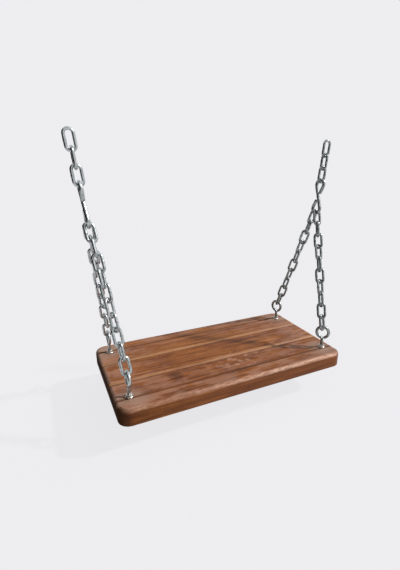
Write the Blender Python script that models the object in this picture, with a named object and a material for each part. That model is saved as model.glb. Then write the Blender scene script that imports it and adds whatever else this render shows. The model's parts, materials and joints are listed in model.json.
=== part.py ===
"""Wooden swing seat on four chain legs, each pair of legs gathered by an S-hook under a short top chain.

Metres, +Z up. The origin is the centre of the seat's top face, +X runs along the seat and +Y to its back.
The seat is three tongued and grooved boards. Four eye bolts pass through it, a flange nut under each.
"""

import math

import bmesh
import bpy
from mathutils import Matrix, Vector

MM = 0.001

# Seat panel
SEAT_LENGTH = 450 * MM
SEAT_DEPTH = 240 * MM
SEAT_THICKNESS = 30 * MM
CORNER_RADIUS = 20 * MM
TOP_ROUND = 7 * MM
BOTTOM_ROUND = 2 * MM

# Boards: a middle one tongued on both edges, two outer ones grooved on one edge and beaded along the top
MIDDLE_BOARD_WIDTH = 71 * MM
TONGUE_LENGTH = 8 * MM
TONGUE_THICKNESS = 9 * MM
JOINT_CHAMFER = 4 * MM
BEAD_FROM_EDGE = 32.5 * MM
BEAD_WIDTH = 3.6 * MM
BEAD_DEPTH = 2.6 * MM

# Eye bolts, bent from round bar with an open eye, each with a collar nut on the seat
BOLT_FROM_END = 24.5 * MM
BOLT_FROM_EDGE = 37 * MM
BOLT_WIRE = 6 * MM
EYE_INNER_DIAMETER = 18 * MM
EYE_CENTRE_HEIGHT = 33 * MM
EYE_NECK_RADIUS = 5 * MM
EYE_TIP_GAP = 0.9 * MM
EYE_FACING = {
    ("left", "front"): math.radians(-90),
    ("left", "back"): math.radians(90),
    ("right", "front"): math.radians(129),
    ("right", "back"): math.radians(108),
}
HEX_ACROSS_FLATS = 10 * MM
HEX_HEIGHT = 5 * MM
FLANGE_THICKNESS = 1.5 * MM
COLLAR_FLANGE_DIAMETER = 13 * MM
NUT_FLANGE_DIAMETER = 14 * MM
THREAD_BELOW_NUT = 3 * MM

# Chain links
LINK_WIRE = 5 * MM
LINK_INNER_LENGTH = 25 * MM
LINK_INNER_WIDTH = 8.8 * MM

# Chain legs: link count, play where links cross, how far the link in the eye is turned from standing along the
# seat, half turns of twist from there to a hook link along the seat, and play in the eyes
LEG_LINKS = 10
LEG_PLAY = 1 * MM
FIRST_LINK_TURN = {
    ("left", "front"): 0,
    ("left", "back"): 0,
    ("right", "front"): math.radians(21),
    ("right", "back"): math.radians(24),
}
LEG_HALF_TURNS = {
    ("left", "front"): -4,
    ("left", "back"): -4,
    ("right", "front"): -3,
    ("right", "back"): -3,
}
EYE_PLAY = {"left": 0.3 * MM, "right": 0.7 * MM}
CHAIN_SPLAY = math.radians(6)

# S-hooks
HOOK_WIRE = 6 * MM
HOOK_LOOP_INNER_RADIUS = 7.2 * MM
HOOK_LOOP_SPACING = 48 * MM
HOOK_TIP_GAP = 0.9 * MM

# Clearances
FIT = 0.3 * MM
BOLT_HOLE_PLAY = 0.4 * MM
OVERCUT = 2 * MM

# Fineness of round forms
WIRE_SIDES = 8
CROWN_SEGMENTS = 6
HOOK_SEGMENT_ANGLE = math.radians(24)
EYE_SEGMENT_ANGLE = math.radians(20)
NECK_SEGMENTS = 3
CORNER_SEGMENTS = 6
TOP_ROUND_SEGMENTS = 4
ROUND_SEGMENTS = 18
SMOOTH_ANGLE = math.radians(50)
SETTLING_STEPS = 40

SIDES = {"left": -1, "right": 1}
ENDS = {"front": -1, "back": 1}

BOLT_X = SEAT_LENGTH / 2 - BOLT_FROM_END
BOLT_Y = SEAT_DEPTH / 2 - BOLT_FROM_EDGE
EYE_RADIUS = (EYE_INNER_DIAMETER + BOLT_WIRE) / 2
CROWN_RADIUS = (LINK_INNER_WIDTH + LINK_WIRE) / 2
CROWN_REACH = (LINK_INNER_LENGTH + LINK_WIRE) / 2
HOOK_LOOP_RADIUS = HOOK_LOOP_INNER_RADIUS + HOOK_WIRE / 2
CROWN_RIDE = HOOK_LOOP_INNER_RADIUS - LINK_WIRE / 2 - FIT
ALONG_SEAT = Vector((1, 0, 0))
ACROSS_SEAT = Vector((0, 1, 0))
UP = Vector((0, 0, 1))


def clear_scene():
    for obj in list(bpy.data.objects):
        bpy.data.objects.remove(obj, do_unlink=True)


def make_material(name, colour, roughness, metallic):
    material = bpy.data.materials.new(name)
    material.use_nodes = True
    shader = material.node_tree.nodes["Principled BSDF"]
    shader.inputs["Base Color"].default_value = (*colour, 1)
    shader.inputs["Roughness"].default_value = roughness
    shader.inputs["Metallic"].default_value = metallic
    return material


def mesh_from(name, bm, material=None):
    """A mesh of what bm holds, facing out, shaded smooth but for its sharp edges."""
    bmesh.ops.recalc_face_normals(bm, faces=bm.faces)
    mesh = bpy.data.meshes.new(name)
    bm.to_mesh(mesh)
    bm.free()
    mesh.shade_smooth()
    mesh.set_sharp_from_angle(angle=SMOOTH_ANGLE)
    if material:
        mesh.materials.append(material)
    return mesh


def add_object(name, mesh):
    obj = bpy.data.objects.new(name, mesh)
    bpy.context.scene.collection.objects.link(obj)
    return obj


def add_helper(name, mesh):
    """A cutter or a blank, which shapes other pieces and isn't one itself."""
    helper = add_object(name, mesh)
    helper.hide_render = True
    helper.display_type = "WIRE"
    return helper


def add_boolean(obj, operation, other):
    modifier = obj.modifiers.new(other.name, "BOOLEAN")
    modifier.operation = operation
    modifier.solver = "EXACT"
    modifier.object = other


def bridge_rings(bm, rings, closed):
    """Joins rings of vertices by quads, round to the first ring again or with a cap on each end."""
    pairs = list(zip(rings, rings[1:]))
    if closed:
        pairs.append((rings[-1], rings[0]))
    for first, second in pairs:
        for i in range(len(first)):
            j = (i + 1) % len(first)
            bm.faces.new((first[i], first[j], second[j], second[i]))
    if not closed:
        bm.faces.new(reversed(rings[0]))
        bm.faces.new(rings[-1])


def stack_outlines(levels, closed=False):
    """The solid through a stack of outlines, each given as its (x, y) points and its height."""
    bm = bmesh.new()
    rings = []
    for outline, height in levels:
        rings.append([bm.verts.new((x, y, height)) for x, y in outline])
    bridge_rings(bm, rings, closed)
    return bm


def sweep_wire(path, diameter, closed):
    """Round wire along (x, z) points, with flat ends where the path is open."""
    bm = bmesh.new()
    points = [Vector((x, 0, z)) for x, z in path]
    count = len(points)
    across = Vector((0, 1, 0))
    rings = []
    for i, point in enumerate(points):
        before = points[i - 1] if closed or i > 0 else point
        after = points[(i + 1) % count] if closed or i < count - 1 else point
        outward = (after - before).normalized().cross(across)
        ring = []
        for k in range(WIRE_SIDES):
            turn = 2 * math.pi * k / WIRE_SIDES
            offset = outward * math.cos(turn) + across * math.sin(turn)
            ring.append(bm.verts.new(point + offset * diameter / 2))
        rings.append(ring)
    bridge_rings(bm, rings, closed)
    return bm


def arc(centre, radius, start, end, segments):
    """Points of an arc, both ends included."""
    points = []
    for i in range(segments + 1):
        turn = start + (end - start) * i / segments
        points.append((centre[0] + radius * math.cos(turn), centre[1] + radius * math.sin(turn)))
    return points


def circle(diameter):
    return arc((0, 0), diameter / 2, 0, 2 * math.pi, ROUND_SEGMENTS)[:-1]


def hexagon():
    """A hexagon across its flats, with as many points as a circle has."""
    points = []
    for x, y in circle(HEX_ACROSS_FLATS):
        from_flat = math.remainder(math.atan2(y, x) - math.pi / 6, math.pi / 3)
        points.append((x / math.cos(from_flat), y / math.cos(from_flat)))
    return points


def axes_at(place, along, width):
    """The matrix that stands a piece's own Z along one direction, with its X as near width as it goes."""
    z = along.normalized()
    x = (width - z * width.dot(z)).normalized()
    rotation = Matrix((x, z.cross(x), z)).transposed()
    return Matrix.Translation(place) @ rotation.to_4x4()


# Seat: one rounded panel, cut into three boards


def panel_outline(inset):
    radius = CORNER_RADIUS - inset
    points = []
    for quarter, (sx, sy) in enumerate(((1, 1), (-1, 1), (-1, -1), (1, -1))):
        centre = (sx * (SEAT_LENGTH / 2 - CORNER_RADIUS), sy * (SEAT_DEPTH / 2 - CORNER_RADIUS))
        start = quarter * math.pi / 2
        points += arc(centre, radius, start, start + math.pi / 2, CORNER_SEGMENTS)
    return points


def make_panel_blank():
    """The seat as one block with round corners and edges, which bounds every board."""
    levels = [
        (panel_outline(BOTTOM_ROUND), -SEAT_THICKNESS),
        (panel_outline(0), -SEAT_THICKNESS + BOTTOM_ROUND),
    ]
    for inset, height in arc((TOP_ROUND, -TOP_ROUND), TOP_ROUND, math.pi, math.pi / 2, TOP_ROUND_SEGMENTS):
        levels.append((panel_outline(inset), height))
    return add_helper("panel_blank", mesh_from("panel_blank", stack_outlines(levels)))


def middle_board_section():
    """Cross-section (y, z) with a tongue on both edges and chamfers along the top."""
    edge = (MIDDLE_BOARD_WIDTH - FIT) / 2
    tongue_low = -(SEAT_THICKNESS + TONGUE_THICKNESS) / 2
    tongue_high = tongue_low + TONGUE_THICKNESS
    half = [
        (edge, -SEAT_THICKNESS - OVERCUT),
        (edge, tongue_low),
        (edge + TONGUE_LENGTH, tongue_low),
        (edge + TONGUE_LENGTH, tongue_high),
        (edge, tongue_high),
        (edge, -JOINT_CHAMFER),
        (edge - JOINT_CHAMFER - OVERCUT, OVERCUT),
    ]
    return half + [(-y, z) for y, z in reversed(half)]


def outer_board_section(end):
    """Cross-section (y, z) with a groove for the tongue and a V-shaped bead groove along the top."""
    edge = (MIDDLE_BOARD_WIDTH + FIT) / 2
    groove_low = -(SEAT_THICKNESS + TONGUE_THICKNESS) / 2 - FIT
    groove_high = groove_low + TONGUE_THICKNESS + 2 * FIT
    bead = SEAT_DEPTH / 2 - BEAD_FROM_EDGE
    bead_half = BEAD_WIDTH / 2 * (BEAD_DEPTH + OVERCUT) / BEAD_DEPTH
    section = [
        (edge, -SEAT_THICKNESS - OVERCUT),
        (SEAT_DEPTH / 2 + OVERCUT, -SEAT_THICKNESS - OVERCUT),
        (SEAT_DEPTH / 2 + OVERCUT, OVERCUT),
        (bead + bead_half, OVERCUT),
        (bead, -BEAD_DEPTH),
        (bead - bead_half, OVERCUT),
        (edge + JOINT_CHAMFER + OVERCUT, OVERCUT),
        (edge, -JOINT_CHAMFER),
        (edge, groove_high),
        (edge + TONGUE_LENGTH, groove_high),
        (edge + TONGUE_LENGTH, groove_low),
        (edge, groove_low),
    ]
    return [(end * y, z) for y, z in section]


def make_board_mesh(section, wood):
    """A plank of one cross-section, a little longer than the seat."""
    bm = bmesh.new()
    rings = []
    for x in (-SEAT_LENGTH / 2 - OVERCUT, SEAT_LENGTH / 2 + OVERCUT):
        rings.append([bm.verts.new((x, y, z)) for y, z in section])
    bridge_rings(bm, rings, closed=False)
    return mesh_from("board", bm, wood)


def add_drill(name, shank):
    """The cutter for a bolt's hole through the seat."""
    bore = circle(BOLT_WIRE + 2 * BOLT_HOLE_PLAY)
    levels = [(bore, -SEAT_THICKNESS - OVERCUT), (bore, OVERCUT)]
    drill = add_helper(name, mesh_from(name, stack_outlines(levels)))
    drill.matrix_basis = shank
    return drill


# Eye bolts and nuts, each about its own shank


def eye_path():
    """Centre line: up the shank, out round the neck bend, then round the eye to a tip beside the neck."""
    neck_drop = math.sqrt(EYE_RADIUS**2 + 2 * EYE_RADIUS * EYE_NECK_RADIUS)
    neck_low = EYE_CENTRE_HEIGHT - neck_drop
    neck_end = math.atan2(neck_drop, -EYE_NECK_RADIUS)
    foot = -SEAT_THICKNESS - FIT - FLANGE_THICKNESS - HEX_HEIGHT - THREAD_BELOW_NUT
    neck_reach = EYE_NECK_RADIUS + BOLT_WIRE / 2 + EYE_TIP_GAP
    eye_start = neck_end - math.pi
    eye_end = neck_end + math.pi - math.asin(neck_reach / (EYE_RADIUS + EYE_NECK_RADIUS))
    steps = round((eye_end - eye_start) / EYE_SEGMENT_ANGLE)
    neck = arc((EYE_NECK_RADIUS, neck_low), EYE_NECK_RADIUS, math.pi, neck_end, NECK_SEGMENTS)
    eye = arc((0, EYE_CENTRE_HEIGHT), EYE_RADIUS, eye_start, eye_end, steps)
    return [(0, foot)] + neck + eye[1:]


def make_collar():
    """The nut that stands on the seat: a hexagon on a round flange, closed over the thread."""
    flange = circle(COLLAR_FLANGE_DIAMETER)
    flange_top = FIT + FLANGE_THICKNESS
    levels = [
        (flange, FIT),
        (flange, flange_top),
        (hexagon(), flange_top),
        (hexagon(), flange_top + HEX_HEIGHT),
    ]
    return add_helper("collar_nut", mesh_from("collar_nut", stack_outlines(levels)))


def make_eye_bolt_mesh(zinc):
    """The bent bar with its collar nut run down on the thread."""
    bar = mesh_from("eye_bolt", sweep_wire(eye_path(), BOLT_WIRE, closed=False), zinc)
    blank = add_helper("eye_bolt_blank", bar)
    add_boolean(blank, "UNION", make_collar())
    bpy.context.view_layer.update()
    graph = bpy.context.evaluated_depsgraph_get()
    return bpy.data.meshes.new_from_object(blank.evaluated_get(graph))


def make_nut_mesh(zinc):
    """The flange nut under the seat, bored for the thread."""
    bore = circle(BOLT_WIRE + 2 * FIT)
    flange = circle(NUT_FLANGE_DIAMETER)
    flange_top = -SEAT_THICKNESS - FIT
    flange_low = flange_top - FLANGE_THICKNESS
    foot = flange_low - HEX_HEIGHT
    levels = [
        (bore, flange_top),
        (flange, flange_top),
        (flange, flange_low),
        (hexagon(), flange_low),
        (hexagon(), foot),
        (bore, foot),
    ]
    return mesh_from("flange_nut", stack_outlines(levels, closed=True), zinc)


# Chain links and S-hooks, each in its own XZ plane


def make_link_mesh(zinc):
    """A welded link: two straight sides between two half-round crowns."""
    straight = CROWN_REACH - CROWN_RADIUS
    path = arc((0, straight), CROWN_RADIUS, 0, math.pi, CROWN_SEGMENTS)
    path += arc((0, -straight), CROWN_RADIUS, math.pi, 2 * math.pi, CROWN_SEGMENTS)
    return mesh_from("chain_link", sweep_wire(path, LINK_WIRE, closed=True), zinc)


def make_hook_mesh(zinc):
    """An S-hook: two loops on one axis, the run that crosses between them, and each free leg bent back to it."""
    half = HOOK_LOOP_SPACING / 2
    lean = math.asin(HOOK_LOOP_RADIUS / half)
    legs_apart = 2 * lean
    tip_clear = HOOK_TIP_GAP + HOOK_WIRE / 2 * (1 + math.cos(legs_apart))
    tip_reach = tip_clear / math.sin(legs_apart)
    tip = (-tip_reach * math.sin(lean), tip_reach * math.cos(lean))
    steps = round((math.pi + legs_apart) / HOOK_SEGMENT_ANGLE)
    upper = [tip] + arc((0, half), HOOK_LOOP_RADIUS, math.pi + lean, -lean, steps)
    lower = [(-x, -z) for x, z in reversed(upper)]
    return mesh_from("s_hook", sweep_wire(upper + lower, HOOK_WIRE, closed=False), zinc)


# Where the chains hang


def splay_up(side):
    """The direction of the top chain and S-hook on one side, which lean out as they rise."""
    return Vector((SIDES[side] * math.sin(CHAIN_SPLAY), 0, math.cos(CHAIN_SPLAY)))


def eye_turn(side, end):
    """How far an eye's plane is turned from straight across the seat."""
    return math.remainder(math.pi / 2 - EYE_FACING[side, end], math.pi)


def eye_crossing(side, end, toward):
    """Centre of the eye's wire at the place where a chain that runs toward a point pulls on it."""
    turn = eye_turn(side, end)
    plane = Vector((math.sin(turn), math.cos(turn), 0))
    centre = Vector((SIDES[side] * BOLT_X, ENDS[end] * BOLT_Y, EYE_CENTRE_HEIGHT))
    pull = (toward - centre).normalized()
    reach = (plane * pull.dot(plane) + UP * pull.z).normalized()
    return centre + reach * EYE_RADIUS


def eye_to_crown(side):
    """From the centre of an eye's wire to the centre of the crown that pulls on it."""
    return (BOLT_WIRE + LINK_WIRE) / 2 + EYE_PLAY[side]


def crown_angle():
    """Angle from the bottom of a hook's loop at which each leg's crown lies, beside the other leg's."""
    return math.asin((LINK_WIRE + FIT) / 2 / CROWN_RIDE)


def crown_in_hook(loop_centre, side, end):
    """Centre of a leg's top crown, where it lies in the hook's lower loop."""
    beside = Vector((0, ENDS[end], 0)) * CROWN_RIDE * math.sin(crown_angle())
    return loop_centre + beside - splay_up(side) * CROWN_RIDE * math.cos(crown_angle())


def hook_loop_centre(side):
    """Centre of a hook's lower loop: on the splayed line over the eyes, as high as the left legs reach."""
    leg = LEG_LINKS * (LINK_INNER_LENGTH - LEG_PLAY) + LEG_PLAY + LINK_WIRE - eye_to_crown("left")
    centre = Vector((SIDES["left"] * BOLT_X, 0, EYE_CENTRE_HEIGHT))
    missing = leg
    for _ in range(SETTLING_STEPS):
        centre = centre + splay_up("left") * missing
        crown = crown_in_hook(centre, "left", "back")
        missing = leg - (crown - eye_crossing("left", "back", crown)).length
    centre.x *= SIDES[side] * SIDES["left"]
    return centre


# Bodies, each an empty on the pivot that it swings on, with its pieces under it

pivots = {}


def add_body(name, pivot, parent=None):
    empty = add_object(f"{name}_pivot", None)
    empty.location = pivot
    if parent:
        empty.parent = bpy.data.objects[f"{parent}_pivot"]
        empty.location = pivot - pivots[parent]
    pivots[name] = pivot


def add_piece(name, mesh, body, place):
    """A piece on a body, with its place given in the seat's frame."""
    piece = add_object(name, mesh)
    piece.parent = bpy.data.objects[f"{body}_pivot"]
    piece.matrix_basis = Matrix.Translation(-pivots[body]) @ place
    return piece


def add_top_chain(side, link, hook, loop_centre):
    """The link that hangs on the beam's hook, the swing link, the hook link and the S-hook."""
    up = splay_up(side)
    hook_pull = loop_centre + up * (HOOK_LOOP_SPACING + CROWN_RIDE)
    hook_link = hook_pull + up * CROWN_REACH
    swing_link = hook_link + up * (LINK_INNER_LENGTH - FIT)
    hanger_link = swing_link + up * (LINK_INNER_LENGTH - FIT)
    hook_centre = loop_centre + up * HOOK_LOOP_SPACING / 2
    add_body(f"top_links_{side}", hanger_link - up * CROWN_REACH, "hangers")
    add_body(f"s_hook_{side}", hook_pull, f"top_links_{side}")
    add_piece(f"hanger_link_{side}", link, "hangers", axes_at(hanger_link, up, ALONG_SEAT))
    add_piece(f"swing_link_{side}", link, f"top_links_{side}", axes_at(swing_link, up, ACROSS_SEAT))
    add_piece(f"hook_link_{side}", link, f"top_links_{side}", axes_at(hook_link, up, ALONG_SEAT))
    add_piece(f"s_hook_{side}", hook, f"s_hook_{side}", axes_at(hook_centre, up, ACROSS_SEAT))


def add_legs(side, link, loop_centre):
    """The front and back leg from one hook down to its eyes, each link turned on from the one below."""
    sway_pivot = loop_centre - splay_up(side) * HOOK_LOOP_RADIUS * math.cos(crown_angle())
    add_body(f"legs_{side}", sway_pivot, f"s_hook_{side}")
    for end in ENDS:
        top_crown = crown_in_hook(loop_centre, side, end)
        crossing = eye_crossing(side, end, top_crown)
        along = (top_crown - crossing).normalized()
        first = crossing + along * (CROWN_REACH - eye_to_crown(side))
        last = top_crown - along * CROWN_REACH
        start = FIRST_LINK_TURN[side, end]
        twist = LEG_HALF_TURNS[side, end] * math.pi - start
        for i in range(LEG_LINKS):
            part_way = i / (LEG_LINKS - 1)
            turned = Matrix.Rotation(start + part_way * twist, 4, "Z")
            place = axes_at(first.lerp(last, part_way), along, ALONG_SEAT) @ turned
            add_piece(f"{end}_{side}_link_{i + 1:02d}", link, f"legs_{side}", place)


def add_seat(wood, zinc, loop_centre):
    """The boards and their bolts, on the left eyes' line, where the seat rolls on its legs."""
    roll_pivot = eye_crossing("left", "back", crown_in_hook(loop_centre, "left", "back"))
    roll_pivot.y = 0
    add_body("seat", roll_pivot, "legs_left")
    panel = make_panel_blank()
    here = Matrix()
    middle = add_piece("board_middle", make_board_mesh(middle_board_section(), wood), "seat", here)
    add_boolean(middle, "INTERSECT", panel)
    eye_bolt = make_eye_bolt_mesh(zinc)
    nut = make_nut_mesh(zinc)
    for end, sy in ENDS.items():
        board = add_piece(f"board_{end}", make_board_mesh(outer_board_section(sy), wood), "seat", here)
        add_boolean(board, "INTERSECT", panel)
        for side, sx in SIDES.items():
            shank = Matrix.Translation((sx * BOLT_X, sy * BOLT_Y, 0))
            facing = Matrix.Rotation(EYE_FACING[side, end], 4, "Z")
            add_boolean(board, "DIFFERENCE", add_drill(f"{end}_{side}_drill", shank))
            add_piece(f"eye_bolt_{end}_{side}", eye_bolt, "seat", shank @ facing)
            add_piece(f"nut_{end}_{side}", nut, "seat", shank)


clear_scene()
stained_wood = make_material("stained_wood", (0.18, 0.068, 0.038), 0.38, 0.0)
zinc_steel = make_material("zinc_plated_steel", (0.56, 0.57, 0.58), 0.34, 1.0)
link_mesh = make_link_mesh(zinc_steel)
hook_mesh = make_hook_mesh(zinc_steel)
add_body("hangers", Vector())
for each_side in SIDES:
    lower_loop = hook_loop_centre(each_side)
    add_top_chain(each_side, link_mesh, hook_mesh, lower_loop)
    add_legs(each_side, link_mesh, lower_loop)
add_seat(stained_wood, zinc_steel, hook_loop_centre("left"))
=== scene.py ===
"""Looks of a wooden swing seat on chains: stained boards, zinc-plated eye bolts, welded chain and S-hooks.

Metres, +Z up, in the frame's own place: the seat's top is at z = 0, +X runs along it and +Y to its back.
"""

import json
import math

import bmesh
import bpy
import numpy as np
from mathutils import Matrix, Vector

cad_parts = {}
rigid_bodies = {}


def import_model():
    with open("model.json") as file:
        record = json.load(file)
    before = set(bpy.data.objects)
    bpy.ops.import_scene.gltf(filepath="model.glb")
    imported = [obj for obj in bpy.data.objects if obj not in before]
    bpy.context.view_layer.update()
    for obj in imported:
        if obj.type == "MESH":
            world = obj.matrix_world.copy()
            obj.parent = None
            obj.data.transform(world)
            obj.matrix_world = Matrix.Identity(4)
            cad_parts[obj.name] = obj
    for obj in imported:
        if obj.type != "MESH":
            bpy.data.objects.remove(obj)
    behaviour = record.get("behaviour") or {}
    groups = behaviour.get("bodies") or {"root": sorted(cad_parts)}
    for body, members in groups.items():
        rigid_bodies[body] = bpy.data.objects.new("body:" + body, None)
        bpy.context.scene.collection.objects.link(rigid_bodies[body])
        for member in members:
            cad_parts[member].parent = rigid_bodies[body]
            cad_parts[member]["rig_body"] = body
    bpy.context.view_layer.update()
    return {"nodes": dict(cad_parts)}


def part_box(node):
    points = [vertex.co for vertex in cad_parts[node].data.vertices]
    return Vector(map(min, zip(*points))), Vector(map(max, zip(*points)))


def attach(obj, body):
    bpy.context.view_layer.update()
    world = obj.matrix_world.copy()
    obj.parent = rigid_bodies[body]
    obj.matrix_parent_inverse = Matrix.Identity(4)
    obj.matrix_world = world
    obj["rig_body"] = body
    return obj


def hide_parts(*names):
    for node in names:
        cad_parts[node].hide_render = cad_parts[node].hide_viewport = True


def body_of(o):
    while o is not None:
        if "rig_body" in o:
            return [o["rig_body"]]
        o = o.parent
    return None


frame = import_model()


# Seat boards
# Three softwood boards, planed, tongued together and glued, with a V run along the top of each outer one.
# The outer edges are rounded over and the whole seat is stained reddish brown and varnished semi-gloss.

MM = 0.001

seat_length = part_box("board_front")[1].x * 2
seat_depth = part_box("board_back")[1].y * 2
seat_thickness = -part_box("board_front")[0].z
corner_radius = 20 * MM
top_round = 7 * MM
bottom_round = 2 * MM
tongue_length = 8 * MM
tongue_low = -19.5 * MM
tongue_high = -10.5 * MM
middle_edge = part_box("board_middle")[1].y - tongue_length
outer_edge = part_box("board_back")[0].y
joint_chamfer = 4 * MM
chamfer_foot = 1.4 * MM
vee_inset = 32.5 * MM
vee_place = seat_depth / 2 - vee_inset
vee_half = 1.8 * MM
vee_depth = 2.6 * MM
lip_round = 0.5 * MM
lip_drop = 0.3 * lip_round
flat_until = 92 * MM
station_spacing = 2.5 * MM
hollow_depth = 0.1 * MM
knock_depth = 0.45 * MM
# The round edges' pale wear, partly a painted highlight, grows towards the right from here, over this run,
# from this least share
wear_and_highlight_from = -120 * MM
wear_and_highlight_run = 200 * MM
least_wear_and_highlight = 0.4
end_worn = 0.5
round_steps = 8
corner_steps = 12
wood_crease = 40
touching = 0.001 * MM


def linear(hex_colour):
    """An sRGB hex colour as the linear RGBA that a shader takes."""
    channels = []
    for i in (1, 3, 5):
        value = int(hex_colour[i : i + 2], 16) / 255
        channels.append(value / 12.92 if value <= 0.04045 else ((value + 0.055) / 1.055) ** 2.4)
    return (*channels, 1)


def add_node(tree, kind, inputs=None, stops=None, **settings):
    """A node with its settings and ramp stops, each input set to a value or linked to a socket or a node."""
    node = tree.nodes.new(kind)
    for name, value in settings.items():
        setattr(node, name, value)
    for name, value in (inputs or {}).items():
        if isinstance(value, bpy.types.Node):
            value = next(output for output in value.outputs if output.enabled)
        if isinstance(value, bpy.types.NodeSocket):
            tree.links.new(value, node.inputs[name])
        else:
            node.inputs[name].default_value = value
    if stops:
        elements = node.color_ramp.elements
        for place, _ in stops[1:-1]:
            elements.new(place)
        for element, (place, colour) in zip(elements, stops):
            element.position = place
            element.color = linear(colour)
    return node


def new_material(name):
    """A new material, its node tree and its Principled shader."""
    material = bpy.data.materials.new(name)
    material.use_nodes = True
    return material, material.node_tree, material.node_tree.nodes["Principled BSDF"]


def new_mesh(name, points, faces, material, crease_angle, **attributes):
    """A smooth mesh with sharp creases, its doubled points merged and its point attributes kept."""
    mesh = bpy.data.meshes.new(name)
    mesh.from_pydata(points.tolist(), [], faces)
    for attribute, values in attributes.items():
        layer = mesh.attributes.new(attribute, "FLOAT", "POINT")
        layer.data.foreach_set("value", np.asarray(values, float).ravel())
    bm = bmesh.new()
    bm.from_mesh(mesh)
    bmesh.ops.remove_doubles(bm, verts=bm.verts, dist=touching)
    bmesh.ops.recalc_face_normals(bm, faces=bm.faces)
    bm.to_mesh(mesh)
    bm.free()
    mesh.shade_smooth()
    mesh.set_sharp_from_angle(angle=math.radians(crease_angle))
    mesh.materials.append(material)
    return mesh


def place_piece(name, mesh, node, place=None, stands_for=True):
    """Shows a copy of a mesh on the body of a CAD node, in that node's stead unless it only goes with it."""
    mesh = mesh.copy()
    mesh.transform(place or Matrix())
    piece = bpy.data.objects.new(name, mesh)
    bpy.context.scene.collection.objects.link(piece)
    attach(piece, body_of(frame["nodes"][node])[0])
    if stands_for:
        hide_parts(node)
    return piece


def ring_faces(rows, sides, closed):
    """Quads between rows of points round a section, with a cap on each end of an open run."""
    faces = []
    for i in range(rows if closed else rows - 1):
        here, there = i * sides, (i + 1) % rows * sides
        for k in range(sides):
            j = (k + 1) % sides
            faces.append((here + k, here + j, there + j, there + k))
    if not closed:
        faces.append(tuple(range(sides)))
        faces.append(tuple(range((rows - 1) * sides, rows * sides)))
    return faces


def section_points(corners):
    """Rows of (y, z, wear, dirt) along a closed section, given as corners with the steps to the next."""
    rows = []
    for (start, steps), (end, _) in zip(corners, corners[1:] + corners[:1]):
        rows.append(np.linspace(start, end, steps, endpoint=False))
    return np.concatenate(rows)


def round_drop(inset, radius):
    """How far a rounded edge lies below the flat, at a distance in from the outline."""
    short = np.clip(radius - inset, 0, radius)
    return radius - np.sqrt(radius**2 - short**2)


def edge_arc(radius, height, start, end, steps):
    """Corners round the seat's outer edge, worn most half-way round, where a painted highlight lies too."""
    corners = []
    for i in range(steps):
        turn = start + (end - start) * i / steps
        y = seat_depth / 2 - radius + radius * math.cos(turn)
        wear_and_highlight = abs(math.sin(2 * turn))
        corners.append(((y, height + radius * math.sin(turn), wear_and_highlight, 0), 1))
    return corners


def outer_section():
    """The back board's section: V and chamfer along the top, groove for the tongue on the inner edge."""
    low = -seat_thickness
    flat_end = seat_depth / 2 - top_round
    corners = [((outer_edge, low, 0, 0.3), 24)]
    corners += edge_arc(bottom_round, low + bottom_round, -math.pi / 2, 0, 4)
    corners += [((seat_depth / 2, low + bottom_round, 0, 0), 9)]
    corners += edge_arc(top_round, -top_round, 0, math.pi / 2, 10)
    corners += [
        ((flat_end, 0, 0.3, 0), 1),
        ((flat_end - lip_round, 0, 0, 0), 9),
        ((vee_place + vee_half + lip_round, 0, 0, 0), 1),
        ((vee_place + vee_half, -lip_drop, 0, 0.4), 3),
        ((vee_place, -vee_depth, 0, 0.85), 3),
        ((vee_place - vee_half, -lip_drop, 0, 0.4), 1),
        ((vee_place - vee_half - lip_round, 0, 0, 0), 20),
        ((outer_edge + joint_chamfer + lip_round, 0, 0, 0), 1),
        ((outer_edge + joint_chamfer, -lip_drop, 0.1, 0), 3),
        ((outer_edge + chamfer_foot, -joint_chamfer + chamfer_foot, 0.1, 0), 1),
        ((outer_edge + 0.5 * chamfer_foot, -joint_chamfer + 0.5 * chamfer_foot, 0, 0.9), 1),
        ((outer_edge, -joint_chamfer, 0, 1), 2),
        ((outer_edge, tongue_high, 0, 1), 1),
        ((outer_edge + tongue_length, tongue_high, 0, 1), 1),
        ((outer_edge + tongue_length, tongue_low, 0, 1), 1),
        ((outer_edge, tongue_low, 0, 1), 2),
    ]
    return section_points(corners)


def middle_section():
    """The middle board's section, with a tongue and a chamfer on both edges."""
    right = [
        ((middle_edge, -seat_thickness, 0, 0.3), 2),
        ((middle_edge, tongue_low, 0, 1), 1),
        ((middle_edge + tongue_length, tongue_low, 0, 1), 1),
        ((middle_edge + tongue_length, tongue_high, 0, 1), 1),
        ((middle_edge, tongue_high, 0, 1), 2),
        ((middle_edge, -joint_chamfer, 0, 1), 1),
        ((middle_edge - 0.5 * chamfer_foot, -joint_chamfer + 0.5 * chamfer_foot, 0, 0.9), 1),
        ((middle_edge - chamfer_foot, -joint_chamfer + chamfer_foot, 0.1, 0), 3),
        ((middle_edge - joint_chamfer, -lip_drop, 0.1, 0), 1),
        ((middle_edge - joint_chamfer - lip_round, 0, 0, 0), 28),
    ]
    left = [((-y, z, wear_and_highlight, dirt), 0) for (y, z, wear_and_highlight, dirt), _ in reversed(right)]
    steps = [count for _, count in reversed(right)][1:] + [28]
    return section_points(right + [(corner, count) for (corner, _), count in zip(left, steps)])


def ripple(x, y, seed):
    """A smooth uneven field between -1 and 1 that runs along the grain."""
    total = 0
    for i, (long, wide) in enumerate(((97, 23), (61, 41), (37, 13), (19, 31))):
        phase = seed * 2.4 + i * 1.7
        total = total + np.sin(2 * np.pi * (x / (long * MM) + y / (wide * MM)) + phase)
    return total / 4


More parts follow.
